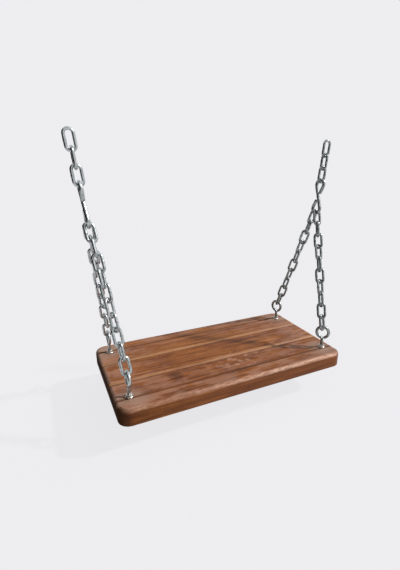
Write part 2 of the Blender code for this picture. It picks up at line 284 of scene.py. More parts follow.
def board_stations():
    """Places along the board: close at the rounded ends and corners, even between them."""
    insets = [top_round * (1 - math.sin(turn)) for turn in np.linspace(0, math.pi / 2, round_steps + 1)]
    insets += [corner_radius * (1 - math.sin(turn)) for turn in np.linspace(0, math.pi / 2, corner_steps + 1)]
    ends = sorted({round(inset, 5) for inset in insets})
    run = seat_length / 2 - corner_radius
    middle = np.linspace(-run, run, round(2 * run / station_spacing) + 1)[1:-1]
    right = [seat_length / 2 - inset for inset in reversed(ends)]
    return np.array([-x for x in reversed(right)] + list(middle) + right)


def board_mesh(name, section, side, seed, wood):
    """A board: its section carried along the seat and held in by the seat's round corners and edges."""
    x = board_stations()[:, None]
    y, z, wear_and_highlight, dirt = (np.tile(column, (len(x), 1)) for column in section.T)
    end_inset = seat_length / 2 - np.abs(x)
    upper = z > -seat_thickness / 2
    edge_round = np.where(upper, top_round, bottom_round)
    squeeze = np.minimum(1, end_inset / edge_round)
    past_corner = np.maximum(0, corner_radius - end_inset)

    def edge_at(inset):
        reach = np.maximum(0, (corner_radius - inset) ** 2 - past_corner**2)
        return seat_depth / 2 - corner_radius + np.sqrt(reach)

    inset = np.maximum(0, seat_depth / 2 - y)
    on_edge = inset < edge_round - touching
    limit = edge_at(edge_round * squeeze)
    straight_limit = seat_depth / 2 - edge_round
    share = np.clip((y - flat_until) / (straight_limit - flat_until), 0, None)
    flat_y = np.where(y > flat_until, flat_until + share * (limit - flat_until), y)
    end_drop = round_drop(end_inset, edge_round)
    flat_z = np.where(upper, np.minimum(z, -end_drop), np.maximum(z, -seat_thickness + end_drop))
    edge_inset = inset * squeeze
    edge_drop = round_drop(edge_inset, edge_round)
    edge_z = np.where(upper, -edge_drop, -seat_thickness + edge_drop)
    edge_z = np.where(inset < touching, np.clip(z, -seat_thickness + bottom_round, -top_round), edge_z)
    new_y = np.where(on_edge, edge_at(edge_inset), flat_y)
    new_z = np.where(on_edge, edge_z, flat_z)

    # Use has left shallow hollows on the top and knocks along its edges, whose pale wear, partly a painted
    # highlight, is strongest at the right
    face = upper & (z > -lip_round)
    hollow = hollow_depth * (0.5 + 0.5 * ripple(x, y, seed)) * face
    knock = knock_depth * wear_and_highlight * np.maximum(0, ripple(x * 3, y, seed + 5)) ** 2 * upper * on_edge
    new_z = new_z - hollow - knock
    new_y = new_y - knock
    end_wear = end_worn * np.clip(1 - np.abs(end_inset - 0.3 * top_round) / top_round, 0, 1) * face
    # The edges' pale wear, partly a painted highlight, grows towards the right
    wear_and_highlight_along = least_wear_and_highlight + (1 - least_wear_and_highlight) * np.clip((x - wear_and_highlight_from) / wear_and_highlight_run, 0, 1)
    wear_and_highlight = np.maximum(np.where(on_edge, wear_and_highlight * wear_and_highlight_along, wear_and_highlight), end_wear)
    end_grain = np.clip(1 - end_inset / np.where(on_edge, corner_radius, 0.4 * edge_round), 0, 1)
    points = np.stack([np.broadcast_to(x, y.shape), side * new_y, new_z], axis=-1).reshape(-1, 3)
    faces = ring_faces(*y.shape, False)
    masks = {"wear_and_highlight": wear_and_highlight, "dirt": dirt, "top": face, "end_grain": end_grain}
    return new_mesh(name, points, faces, wood, wood_crease, **masks)


ring_spacing = 5.07 * MM
ring_stretch = 0.09
cloud_size = 71.4 * MM
knot_size = Vector((16.7, 19.2, 83.3)) * MM
stroke_size = Vector((16.7, 2.38, 10)) * MM
stroke_slant = math.radians(34.4)
# Length, width and depth of a pattern's cells, then its detail and roughness
wood_patterns = {
    # Streaks, where the wood drank more or less of the stain
    "streaks": (Vector((125, 5.26, 5.26)) * MM, 5, 0.62),
    # Pores, drawn coarser than life so that they show
    "pores": (Vector((33.3, 0.909, 0.909)) * MM, 3, 0.7),
    # Bloom, where the varnish has gone milky and pinkish, with a painted sheen in the same patches
    "bloom_and_sheen": (Vector((50, 18.2, 18.2)) * MM, 6, 0.62),
    # Blots, where shoes have stood
    "blots": (Vector((18.2, 11.8, 11.8)) * MM, 2.5, 0.55),
}
# Ovals on the top: where sitting keeps the varnish clear of bloom and painted sheen, and where shoes scuff it
# most
clear_top_middle = Vector((-18.2, 11.1)) * MM
clear_top_reach = Vector((181.8, 111.1)) * MM
scuff_middle = Vector((13.3, -52.6)) * MM
scuff_reach = Vector((66.7, 26.3)) * MM
bolt_low, bolt_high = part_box("nut_back_right")
dust_offset = 6 * MM
dust_middle = ((bolt_low.x + bolt_high.x) / 2, (bolt_low.y + bolt_high.y) / 2 + dust_offset)
dust_reach = 45 * MM
dust_core = 10 * MM
# Width of the tan band behind a joint: rubbed wood and a painted highlight of the lit chamfer
lip_width = 9 * MM
darker_left_until = -60 * MM
grain_relief = 0.25 * MM
# The dark bands of dirt and painted shade by the joints and the V are drawn wider than life so that they show
grime_and_shade_width = 10 * MM
vee_halo = 5 * MM


def scale_for(sizes):
    """The scale at which a pattern's cells get these sizes."""
    return tuple(1 / size for size in sizes)


def from_oval(tree, place, middle, reach):
    """How far a place lies from the middle of an oval on the seat's top, 1 at its edge."""
    scale = scale_for(reach)
    moved = (-middle[0] * scale[0], -middle[1] * scale[1], 0)
    spread = add_node(tree, "ShaderNodeMapping", {"Vector": place, "Location": moved, "Scale": (*scale, 0)})
    return add_node(tree, "ShaderNodeVectorMath", {0: spread}, operation="LENGTH")


def grain_colour(tree, place, patterns, pith, shift, thick, thin):
    """The stain on the grain: light and dark streaks, toned by growth rings, brushed clouds and pores."""
    drawn_out = add_node(
        tree,
        "ShaderNodeMapping",
        {"Vector": place, "Location": (shift, -pith[0], -pith[1]), "Scale": (ring_stretch, 1, 1)},
    )
    # The wave runs through 20 radians in each unit of its scale
    ring_scale = 2 * math.pi / (20 * ring_spacing)
    rings = add_node(
        tree,
        "ShaderNodeTexWave",
        {"Vector": drawn_out, "Scale": ring_scale, "Distortion": 5, "Detail": 3, "Detail Scale": 22},
        wave_type="RINGS",
        rings_direction="X",
        wave_profile="SAW",
    )
    stain = add_node(
        tree,
        "ShaderNodeValToRGB",
        {"Fac": patterns["streaks"]},
        stops=[(0.33, "#683d1c"), (0.43, "#835022"), (0.51, "#9a622c"), (0.59, "#ad7238"), (0.68, "#c48a4e")],
    )
    tones = [
        (rings.outputs["Fac"], 0.75, [(0.0, "#ffffff"), (1.0, "#b98f70")]),
        (patterns["clouds"], 1.0, [(0.35, thick), (0.65, thin)]),
        (patterns["pores"], 0.6, [(0.33, "#a88a78"), (0.5, "#ffffff")]),
    ]
    for pattern, share, stops in tones:
        tone = add_node(tree, "ShaderNodeValToRGB", {"Fac": pattern}, stops=stops)
        stain = add_node(
            tree, "ShaderNodeMix", {0: share, 6: stain, 7: tone}, data_type="RGBA", blend_type="MULTIPLY"
        )
    return stain


def aged_and_sheened_finish(tree, stain, place, patterns, top):
    """The stain as it has aged: even on the edges, milky with a painted sheen where it isn't sat on, dusty
    about the bolts.
    """
    # The edges were sanded finer and took the stain more evenly than the top, and are darker towards the left
    along = add_node(tree, "ShaderNodeSeparateXYZ", {0: place}).outputs["X"]
    from_left = add_node(
        tree, "ShaderNodeMapRange", {"Value": along, "From Min": -seat_length / 2, "From Max": darker_left_until}
    )
    edge_tone = add_node(
        tree, "ShaderNodeValToRGB", {"Fac": from_left}, stops=[(0.0, "#5a3a26"), (1.0, "#8c5c44")]
    )
    evened = add_node(tree, "ShaderNodeMapRange", {"Value": top, "To Min": 0.4, "To Max": 0.0})
    stain = add_node(tree, "ShaderNodeMix", {0: evened, 6: stain, 7: edge_tone}, data_type="RGBA")
    # Milky varnish with a painted sheen, pale pink, away from where the seat is sat on
    milky = add_node(
        tree,
        "ShaderNodeMapRange",
        {"Value": patterns["bloom_and_sheen"], "From Min": 0.45, "From Max": 0.55, "To Min": 0.06, "To Max": 0.45},
    )
    from_clear_top = from_oval(tree, place, clear_top_middle, clear_top_reach)
    outward = add_node(
        tree, "ShaderNodeMapRange", {"Value": from_clear_top, "From Min": 0.5, "From Max": 1.1, "To Min": 0.1}
    )
    milky = add_node(tree, "ShaderNodeMath", {0: milky, 1: outward}, operation="MULTIPLY")
    milky = add_node(tree, "ShaderNodeMath", {0: milky, 1: top}, operation="MULTIPLY")
    stain = add_node(tree, "ShaderNodeMix", {0: milky, 6: stain, 7: linear("#a98270")}, data_type="RGBA")
    # Dust lies about the nuts, most on the side of the seat's edge
    mirrored = add_node(tree, "ShaderNodeVectorMath", {0: place}, operation="ABSOLUTE")
    from_bolt = from_oval(tree, mirrored, dust_middle, (dust_reach, dust_reach))
    dust = add_node(
        tree,
        "ShaderNodeMapRange",
        {"Value": from_bolt, "From Min": 1.0, "From Max": dust_core / dust_reach, "To Max": 1.1},
        interpolation_type="SMOOTHSTEP",
    )
    dusty = add_node(tree, "ShaderNodeMath", {0: dust, 1: patterns["clouds"]}, operation="MULTIPLY")
    dusty = add_node(tree, "ShaderNodeMath", {0: dusty, 1: top}, operation="MULTIPLY")
    return add_node(tree, "ShaderNodeMix", {0: dusty, 6: stain, 7: linear("#9a8375")}, data_type="RGBA")


def knotted(tree, stain, place, clouds, knot):
    """The stain with a knot in it: a dark heart and a softer, wandering halo that runs deep."""
    scale = scale_for(knot_size)
    moved = (-knot[0] * scale[0], -knot[1] * scale[1], 0)
    from_knot = add_node(tree, "ShaderNodeMapping", {"Vector": place, "Location": moved, "Scale": scale})
    wander = add_node(
        tree, "ShaderNodeVectorMath", {0: clouds.outputs["Color"], 1: (-0.5, -0.5, -0.5)}, operation="ADD"
    )
    wandering = add_node(tree, "ShaderNodeVectorMath", {0: from_knot, 1: wander}, operation="ADD")
    tone = add_node(
        tree,
        "ShaderNodeValToRGB",
        {"Fac": add_node(tree, "ShaderNodeVectorMath", {0: wandering}, operation="LENGTH")},
        stops=[
            (0.1, "#4f3824"),
            (0.35, "#6b4f36"),
            (0.5, "#a58a6c"),
            (0.6, "#80644a"),
            (0.75, "#dcc8b2"),
            (1.0, "#ffffff"),
        ],
    )
    return add_node(
        tree, "ShaderNodeMix", {0: 0.6, 6: stain, 7: tone}, data_type="RGBA", blend_type="MULTIPLY"
    )


def worn_and_highlit_finish(tree, stain, place, across, clouds, wear_and_highlight, rubbed_and_lit_edge):
    """The stain worn down to paler wood, with painted highlight: on the round edges in slanting strokes,
    behind a joint in tan.
    """
    slanted = add_node(
        tree,
        "ShaderNodeMapping",
        {"Vector": place, "Rotation": (0, 0, stroke_slant), "Scale": scale_for(stroke_size)},
    )
    strokes = add_node(
        tree, "ShaderNodeTexNoise", {"Vector": slanted, "Scale": 1, "Detail": 4, "Roughness": 0.75}
    )
    broken = add_node(
        tree,
        "ShaderNodeMapRange",
        {"Value": strokes, "From Min": 0.4, "From Max": 0.6, "To Min": 0.3, "To Max": 1.0},
    )
    # Pale wear on the round edges, partly a painted highlight
    worn = add_node(tree, "ShaderNodeMath", {0: wear_and_highlight, 1: broken}, operation="MULTIPLY")
    stain = add_node(tree, "ShaderNodeMix", {0: worn, 6: stain, 7: linear("#d6ae96")}, data_type="RGBA")
    # The tan band behind a joint is rubbed wood and a painted highlight of the lit chamfer
    lip = add_node(
        tree,
        "ShaderNodeMapRange",
        {"Value": across, "From Min": rubbed_and_lit_edge + lip_width, "From Max": rubbed_and_lit_edge, "To Max": 1.0},
        interpolation_type="SMOOTHSTEP",
    )
    uneven = add_node(
        tree,
        "ShaderNodeMapRange",
        {"Value": clouds, "From Min": 0.35, "From Max": 0.6, "To Min": 0.25, "To Max": 0.65},
    )
    rubbed = add_node(tree, "ShaderNodeMath", {0: lip, 1: uneven}, operation="MULTIPLY")
    return add_node(tree, "ShaderNodeMix", {0: rubbed, 6: stain, 7: linear("#ba8e68")}, data_type="RGBA")


def scuff_mask(tree, place, blots, top):
    """Where shoes have scuffed the top: blots, most of them in the middle of the front."""
    from_middle = from_oval(tree, place, scuff_middle, scuff_reach)
    zone = add_node(
        tree,
        "ShaderNodeMapRange",
        {"Value": from_middle, "From Min": 0.5, "From Max": 1.3, "To Min": 0.5, "To Max": 0.04},
    )
    scuffed = add_node(
        tree, "ShaderNodeMapRange", {"Value": blots, "From Min": 0.5, "From Max": 0.6, "To Max": 1.0}
    )
    scuffed = add_node(tree, "ShaderNodeMath", {0: scuffed, 1: zone}, operation="MULTIPLY")
    return add_node(tree, "ShaderNodeMath", {0: scuffed, 1: top}, operation="MULTIPLY")


def dirt_and_shade_mask(tree, across, top, dirt, grimy_and_shaded_edge):
    """Where dirt and pooled varnish lie in the V and the joints, and dirt with painted shade beside the V and
    in front of a joint.
    """
    from_middle = add_node(tree, "ShaderNodeMath", {0: across}, operation="ABSOLUTE")
    from_vee = add_node(tree, "ShaderNodeMath", {0: from_middle, 1: vee_place}, operation="SUBTRACT")
    from_vee = add_node(tree, "ShaderNodeMath", {0: from_vee}, operation="ABSOLUTE")
    halo = add_node(
        tree,
        "ShaderNodeMapRange",
        {"Value": from_vee, "From Min": vee_halo, "From Max": 0.0, "To Max": 0.95},
        interpolation_type="SMOOTHSTEP",
    )
    grime_and_shade = add_node(
        tree,
        "ShaderNodeMapRange",
        {"Value": across, "From Min": grimy_and_shaded_edge - grime_and_shade_width, "From Max": grimy_and_shaded_edge, "To Max": 0.95},
        interpolation_type="SMOOTHSTEP",
    )
    band = add_node(tree, "ShaderNodeMath", {0: halo, 1: grime_and_shade}, operation="MAXIMUM")
    band = add_node(tree, "ShaderNodeMath", {0: band, 1: top}, operation="MULTIPLY")
    return add_node(tree, "ShaderNodeMath", {0: dirt, 1: band}, operation="MAXIMUM")


def stained_wood(name, pith, shift, knots, rubbed_and_lit_edge, grimy_and_shaded_edge, thick, thin):
    """Stained softwood under semi-gloss varnish, made of layers from the bare grain to the dirt on top, with
    painted highlight, sheen and shade among them.

    To the eye it is warm brown and streaked, with a soft sheen on the sound varnish and none on dirt.
    """
    material, tree, shader = new_material(name)
    place = add_node(tree, "ShaderNodeTexCoord").outputs["Object"]
    across = add_node(tree, "ShaderNodeSeparateXYZ", {0: place}).outputs["Y"]
    top, wear_and_highlight, dirt, end_grain = (
        add_node(tree, "ShaderNodeAttribute", attribute_name=mask).outputs["Fac"]
        for mask in ("top", "wear_and_highlight", "dirt", "end_grain")
    )
    # Clouds a hand wide, where the stain was brushed on thicker or thinner
    clouds = add_node(
        tree, "ShaderNodeTexNoise", {"Vector": place, "Scale": 1 / cloud_size, "Detail": 4, "Roughness": 0.55}
    )
    patterns = {"clouds": clouds}
    for pattern, (sizes, detail, roughness) in wood_patterns.items():
        spread = add_node(
            tree, "ShaderNodeMapping", {"Vector": place, "Location": (shift, 0, 0), "Scale": scale_for(sizes)}
        )
        patterns[pattern] = add_node(
            tree,
            "ShaderNodeTexNoise",
            {"Vector": spread, "Scale": 1, "Detail": detail, "Roughness": roughness},
        )

    stain = grain_colour(tree, place, patterns, pith, shift, thick, thin)
    stain = aged_and_sheened_finish(tree, stain, place, patterns, top)
    for knot in knots:
        stain = knotted(tree, stain, place, clouds, knot)
    stain = worn_and_highlit_finish(tree, stain, place, across, clouds, wear_and_highlight, rubbed_and_lit_edge)
    scuffed = scuff_mask(tree, place, patterns["blots"], top)
    stain = add_node(tree, "ShaderNodeMix", {0: scuffed, 6: stain, 7: linear("#bd9680")}, data_type="RGBA")
    # End grain drinks the most stain
    stain = add_node(tree, "ShaderNodeMix", {0: end_grain, 6: stain, 7: linear("#452817")}, data_type="RGBA")
    # Dirt darkens the V and the joints; painted shade darkens the top beside the V and in front of a joint
    dirt_and_shade = dirt_and_shade_mask(tree, across, top, dirt, grimy_and_shaded_edge)
    stain = add_node(tree, "ShaderNodeMix", {0: dirt_and_shade, 6: stain, 7: linear("#4a2915")}, data_type="RGBA")
    tree.links.new(stain.outputs[2], shader.inputs["Base Color"])

    gloss = add_node(
        tree,
        "ShaderNodeMapRange",
        {"Value": clouds, "From Min": 0.3, "From Max": 0.7, "To Min": 0.3, "To Max": 0.46},
    )
    gloss = add_node(tree, "ShaderNodeMath", {0: scuffed, 1: 0.5, 2: gloss}, operation="MULTIPLY_ADD")
    # The dirt, the painted shade and the end grain are matt
    matt = add_node(tree, "ShaderNodeMath", {0: dirt_and_shade, 1: end_grain}, operation="MAXIMUM")
    gloss = add_node(tree, "ShaderNodeMath", {0: gloss, 1: matt}, operation="MAXIMUM")
    tree.links.new(gloss.outputs[0], shader.inputs["Roughness"])
    shader.inputs["IOR"].default_value = 1.5
    shader.inputs["Specular IOR Level"].default_value = 0.1

    relief = add_node(
        tree,
        "ShaderNodeMath",
        {0: patterns["streaks"], 1: 0.8, 2: patterns["pores"]},
        operation="MULTIPLY_ADD",
    )
    grain = add_node(tree, "ShaderNodeBump", {"Height": relief, "Strength": 0.5, "Distance": grain_relief})
    tree.links.new(grain.outputs[0], shader.inputs["Normal"])
    return material


# A line well off the seat, for an edge that a board hasn't got
no_edge = 1.0
# Each board's section, the side that its section is turned to, and the seed of its hollows and knocks
board_shapes = {
    "front": (outer_section(), -1, 1),
    "middle": (middle_section(), 1, 2),
    "back": (outer_section(), 1, 3),
}
# Where each board's pith lay, a shift that sets its patterns apart, and its own marks and tones; the rubbed
# edge also takes a painted highlight and the grimy edge a painted shade
board_finishes = {
    "front": {
        "pith": (-95 * MM, -62 * MM),
        "shift": 0.3,
        "knots": [(-113 * MM, -58 * MM)],
        "rubbed_and_lit_edge": -no_edge,
        "grimy_and_shaded_edge": -outer_edge,
        "thick": "#d0baa6",
        "thin": "#f6ece2",
    },
    "middle": {
        "pith": (20 * MM, 55 * MM),
        "shift": 1.7,
        "knots": [],
        "rubbed_and_lit_edge": -middle_edge,
        "grimy_and_shaded_edge": middle_edge,
        "thick": "#d8c6b6",
        "thin": "#fffaf4",
    },
    "back": {
        "pith": (70 * MM, -70 * MM),
        "shift": 2.9,
        "knots": [],
        "rubbed_and_lit_edge": outer_edge,
        "grimy_and_shaded_edge": no_edge,
        "thick": "#f2e8df",
        "thin": "#ffffff",
    },
}
for board, (section, side, seed) in board_shapes.items():
    wood = stained_wood(f"stained_softwood_{board}", **board_finishes[board])
    mesh = board_mesh(f"seat_board_{board}", section, side, seed, wood)
    place_piece(f"seat_board_{board}", mesh, f"board_{board}")


# Eye bolts
# Each is a 6 mm bar with a rolled thread, its top bent round into an eye and zinc plated.
# A hexagonal collar nut with a flange is run down the thread to clamp the seat from above.

bolt_radius = 3 * MM
eye_radius = 12 * MM
eye_height = 33 * MM
neck_radius = 5 * MM
eye_gap = 0.9 * MM
thread_pitch = 1 * MM
thread_depth = 0.55 * MM
thread_top = 4 * MM
foot_chamfer = 0.4 * MM
tip_chamfer = 0.7 * MM
tip_ease = 0.1 * MM
neck_steps = 8
eye_steps = 56
bar_sides = 24
bar_crease = 50
nut_sides = 48
nut_crease = 30
hex_half = 5 * MM
hex_root = 1.12 * hex_half
hex_corner = 1.16 * hex_half
hex_shoulder = 1.06 * hex_half
hex_top = 0.96 * hex_half
hex_chamfer = 0.9 * MM
hex_ease = 0.25 * MM
collar_height = 3.6 * MM
collar_bore = 0.9 * bolt_radius
flange_thickness = 1.5 * MM
flange_rim = 0.8 * MM
flange_ease = 0.3 * MM
flange_slope = 0.4 * MM
flange_fall = 0.2 * MM
hex_foot = 0.1 * MM
collar_flange = 6.5 * MM
mouth = 0.5 * MM
seat_gap = 0.3 * MM
bolt_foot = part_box("eye_bolt_front_left")[0].z
eye_turns = {"front_left": -90, "back_left": 90, "front_right": 129, "back_right": 108}
patch_size = 3.85 * MM
spangle_size = 2.08 * MM
plate_relief = 0.12 * MM


def arc(centre, radius, start, end, steps):
    """(x, z) points of an arc, both ends included."""
    turns = np.linspace(start, end, steps + 1)
    return np.stack([centre[0] + radius * np.cos(turns), centre[1] + radius * np.sin(turns)], axis=1)


def bar_points(path, radius, sides, closed):
    """Points of round bar along an (x, z) path, its radius given for each row and side."""
    path = np.asarray(path)
    if closed:
        before, after = np.roll(path, 1, axis=0), np.roll(path, -1, axis=0)
    else:
        before = np.concatenate([path[:1], path[:-1]])
        after = np.concatenate([path[1:], path[-1:]])
    run = after - before
    run = run / np.linalg.norm(run, axis=1, keepdims=True)
    turn = np.linspace(0, 2 * np.pi, sides, endpoint=False)
    out = radius * np.cos(turn)
    x = path[:, :1] - run[:, 1:] * out
    z = path[:, 1:] + run[:, :1] * out
    y = np.broadcast_to(radius * np.sin(turn), x.shape)
    return np.stack([x, y, z], axis=-1).reshape(-1, 3)


def zinc_steel(name, dark, light, roughness):
    """Zinc-plated steel, mottled by the plating, with dull film in its hollows and bright rubs.

    To the eye it is grey and satin, with broken highlights and dark sides.
    """
    material, tree, shader = new_material(name)
    place = add_node(tree, "ShaderNodeTexCoord").outputs["Object"]
    # Mottled patches and the zinc's spangle, both drawn coarser than life so that they show
    patches = add_node(
        tree, "ShaderNodeTexNoise", {"Vector": place, "Scale": 1 / patch_size, "Detail": 4, "Roughness": 0.6}
    )
    spangle = add_node(tree, "ShaderNodeTexVoronoi", {"Vector": place, "Scale": 1 / spangle_size})
    blotch = add_node(
        tree, "ShaderNodeMath", {0: spangle.outputs["Color"], 1: 0.35, 2: patches}, operation="MULTIPLY_ADD"
    )
    tone = add_node(tree, "ShaderNodeValToRGB", {"Fac": blotch}, stops=[(0.4, dark), (0.95, light)])
    for mask, colour in (("rub", "#d2d3d4"), ("film", "#2b2a28")):
        share = add_node(tree, "ShaderNodeAttribute", attribute_name=mask).outputs["Fac"]
        tone = add_node(tree, "ShaderNodeMix", {0: share, 6: tone, 7: linear(colour)}, data_type="RGBA")
    tree.links.new(tone.outputs[2], shader.inputs["Base Color"])
    shader.inputs["Metallic"].default_value = 1.0
    duller, brighter = roughness + 0.08, roughness - 0.06
    dull = add_node(
        tree,
        "ShaderNodeMapRange",
        {"Value": blotch, "From Min": 0.4, "From Max": 0.9, "To Min": duller, "To Max": brighter},
    )
    tree.links.new(dull.outputs[0], shader.inputs["Roughness"])
    bumps = add_node(tree, "ShaderNodeBump", {"Height": patches, "Strength": 0.07, "Distance": plate_relief})
    tree.links.new(bumps.outputs[0], shader.inputs["Normal"])
    return material


def eye_bolt_mesh(name, zinc):
    """The threaded shank, the bend of the neck and the open eye, its cut end chamfered."""
    neck_drop = math.sqrt(eye_radius**2 + 2 * eye_radius * neck_radius)
    neck_low = eye_height - neck_drop
    neck_end = math.atan2(neck_drop, -neck_radius)
    neck_reach = neck_radius + bolt_radius + eye_gap
    eye_end = neck_end + math.pi - math.asin(neck_reach / (eye_radius + neck_radius))
    heights = np.arange(bolt_foot, thread_top, thread_pitch / 8)
    shank = np.stack([np.zeros_like(heights), heights], axis=1)
    neck = arc((neck_radius, neck_low), neck_radius, math.pi, neck_end, neck_steps)
    eye = arc((0, eye_height), eye_radius, neck_end - math.pi, eye_end, eye_steps)[1:]
    path = np.concatenate([shank, neck, eye])
    turn = np.linspace(0, 2 * np.pi, bar_sides, endpoint=False)
    radius = np.full((len(path), bar_sides), bolt_radius)
    film = np.zeros_like(radius)
    valley = 0.5 + 0.5 * np.cos(2 * np.pi * heights[:, None] / thread_pitch - turn)
    radius[: len(heights)] -= thread_depth * valley
    film[: len(heights)] = 0.5 * valley
    radius[0] -= foot_chamfer
    radius[-1] -= tip_chamfer
    radius[-2] -= tip_ease
    # The eye's inside is rubbed bright about its top, where the chain bears
    from_top = np.arange(len(path)) - len(heights) - len(neck) - eye_steps / 2
    rub = 0.6 * np.exp(-((from_top / (eye_steps / 8)) ** 2))[:, None] * (np.cos(turn) > 0.2)
    points = bar_points(path, radius, bar_sides, False)
    faces = ring_faces(len(path), bar_sides, False)
    return new_mesh(name, points, faces, zinc, bar_crease, rub=rub, film=film)


def nut_points(levels):
    """Points of a nut about Z, from levels of (round radius, half across the flats or none, height)."""
    turn = np.linspace(0, 2 * np.pi, nut_sides, endpoint=False)
    to_flat = np.abs((turn + np.pi / 6) % (np.pi / 3) - np.pi / 6)
    rows = []
    for round_radius, half, height in levels:
        radius = np.full_like(turn, round_radius)
        if half:
            radius = np.minimum(radius, half / np.cos(to_flat))
        ring = [radius * np.cos(turn), radius * np.sin(turn), np.full_like(turn, height)]
        rows.append(np.stack(ring, axis=1))
    return np.concatenate(rows), ring_faces(len(levels), nut_sides, False)


def collar_mesh(name, zinc):
    """The collar nut: a flange with a sloped top, a hexagon with chamfered corners, closed on the bar."""
    low = seat_gap + flange_thickness
    top = low + collar_height
    levels = [
        (collar_bore, None, seat_gap),
        (collar_flange - flange_ease, None, seat_gap),
        (collar_flange, None, seat_gap + flange_ease),
        (collar_flange, None, seat_gap + flange_rim),
        (collar_flange - flange_slope, None, low - flange_fall),
        (hex_root, None, low + hex_foot),
        (hex_corner, hex_half, low + flange_ease),
        (hex_corner, hex_half, top - hex_chamfer),
        (hex_shoulder, hex_half, top - hex_ease),
        (hex_top, None, top),
        (bolt_radius + mouth, None, top),
        (collar_bore, None, top - mouth),
    ]
    points, faces = nut_points(levels)
    film = np.repeat([1, 0.3, 0, 0, 0.1, 0.35, 0.25, 0, 0, 0, 0.4, 1], nut_sides)
    return new_mesh(name, points, faces, zinc, nut_crease, rub=np.zeros(len(points)), film=film)


bright_zinc = zinc_steel("bright_zinc_plate", "#a9a7a1", "#e6e4dd", 0.42)
left_zinc = zinc_steel("galvanised_zinc_clean", "#939a9a", "#cfd5d4", 0.32)
right_zinc = zinc_steel("galvanised_zinc_dulled", "#4d5352", "#b9c0be", 0.29)
collar = collar_mesh("collar_nut", bright_zinc)
side_zinc = {"left": left_zinc, "right": right_zinc}
for side, zinc in side_zinc.items():
    bolt = eye_bolt_mesh(f"eye_bolt_{side}", zinc)
    for end in ("front", "back"):
        node = f"eye_bolt_{end}_{side}"
        low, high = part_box(f"nut_{end}_{side}")
        shank = Matrix.Translation(((low.x + high.x) / 2, (low.y + high.y) / 2, 0))
        facing = Matrix.Rotation(math.radians(eye_turns[f"{end}_{side}"]), 4, "Z")
        place_piece(f"bent_eye_bolt_{end}_{side}", bolt, node, shank @ facing)
        place_piece(f"collar_nut_{end}_{side}", collar, node, shank, stands_for=False)


# Flange nuts
# Four hexagon nuts with a flange pressed in one piece, zinc plated like the bolts.
# Each is run up the thread from below and holds the seat against its collar.

nut_flange = 7 * MM
nut_height = 5 * MM
nut_bore = bolt_radius + 0.3 * MM
nut_countersink = 0.6 * MM


def flange_nut_mesh(name, zinc):
    """The nut under the seat: flange above, chamfered hexagon below, open over the thread."""
    top = -seat_thickness - seat_gap
    low = top - flange_thickness
    foot = low - nut_height
    levels = [
        (nut_bore, None, foot + nut_countersink),
        (nut_bore + mouth, None, foot),
        (hex_top, None, foot),
        (hex_shoulder, hex_half, foot + hex_ease),
        (hex_corner, hex_half, foot + hex_chamfer),
        (hex_corner, hex_half, low - flange_ease),
        (hex_root, None, low - hex_foot),
        (nut_flange - flange_slope, None, low + flange_fall),
        (nut_flange, None, top - flange_rim),
        (nut_flange, None, top - flange_ease),
        (nut_flange - flange_ease, None, top),
        (nut_bore, None, top),
    ]
    points, faces = nut_points(levels)
    film = np.repeat([1, 0.4, 0, 0, 0, 0.25, 0.35, 0.1, 0, 0, 0.3, 1], nut_sides)
    return new_mesh(name, points, faces[:-2], zinc, nut_crease, rub=np.zeros(len(points)), film=film)


flange_nut = flange_nut_mesh("flange_nut", bright_zinc)
for side in side_zinc:
    for end in ("front", "back"):
        node = f"nut_{end}_{side}"
        low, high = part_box(node)
        shank = Matrix.Translation(((low.x + high.x) / 2, (low.y + high.y) / 2, 0))
        place_piece(f"flange_nut_{end}_{side}", flange_nut, node, shank)


# Chain
# Each link is 5 mm wire bent to a long ring, butt-welded at the middle of one side and hot-dip galvanised.
# Ten to a leg, each hung in the next, and three over each hook; the crowns are rubbed bright where they bear.

link_wire = 2.48 * MM
link_reach = 15 * MM
crown_radius = 6.9 * MM
crown_steps = 16
side_steps = 12
link_sides = 16
link_crease = 60
weld_height = 0.35 * MM
weld_width = 1.3 * MM
crown_flat = 0.12 * MM


def link_mesh(name, zinc):
    """A welded link: two straight sides, two crowns rubbed on their inside, and the bead of the weld."""
    straight = link_reach - crown_radius
    upper = arc((0, straight), crown_radius, 0, math.pi, crown_steps)
    lower = arc((0, -straight), crown_radius, math.pi, 2 * math.pi, crown_steps)
    heights = np.linspace(straight, -straight, side_steps + 1)[1:-1]
    left_side = np.stack([np.full_like(heights, -crown_radius), heights], axis=1)
    right_side = np.stack([np.full_like(heights, crown_radius), -heights], axis=1)
    path = np.concatenate([upper, left_side, lower, right_side])
    turn = np.linspace(0, 2 * np.pi, link_sides, endpoint=False)
    on_weld = np.where(path[:, 0] > crown_radius * 0.99, np.exp(-((path[:, 1] / weld_width) ** 2)), 0)
    on_crown = np.clip((np.abs(path[:, 1]) - straight) / crown_radius, 0, 1)[:, None]
    inside = np.clip(np.cos(turn), 0, 1)
    radius = link_wire + weld_height * on_weld[:, None] - crown_flat * on_crown * inside
    rub = 0.7 * on_crown**2 * inside
    film = 0.3 * on_weld[:, None] + 0.35 * on_crown * (1 - on_crown) * np.ones(link_sides)
    points = bar_points(path, radius, link_sides, True)
    faces = ring_faces(len(path), link_sides, True)
    return new_mesh(name, points, faces, zinc, link_crease, rub=rub, film=film)


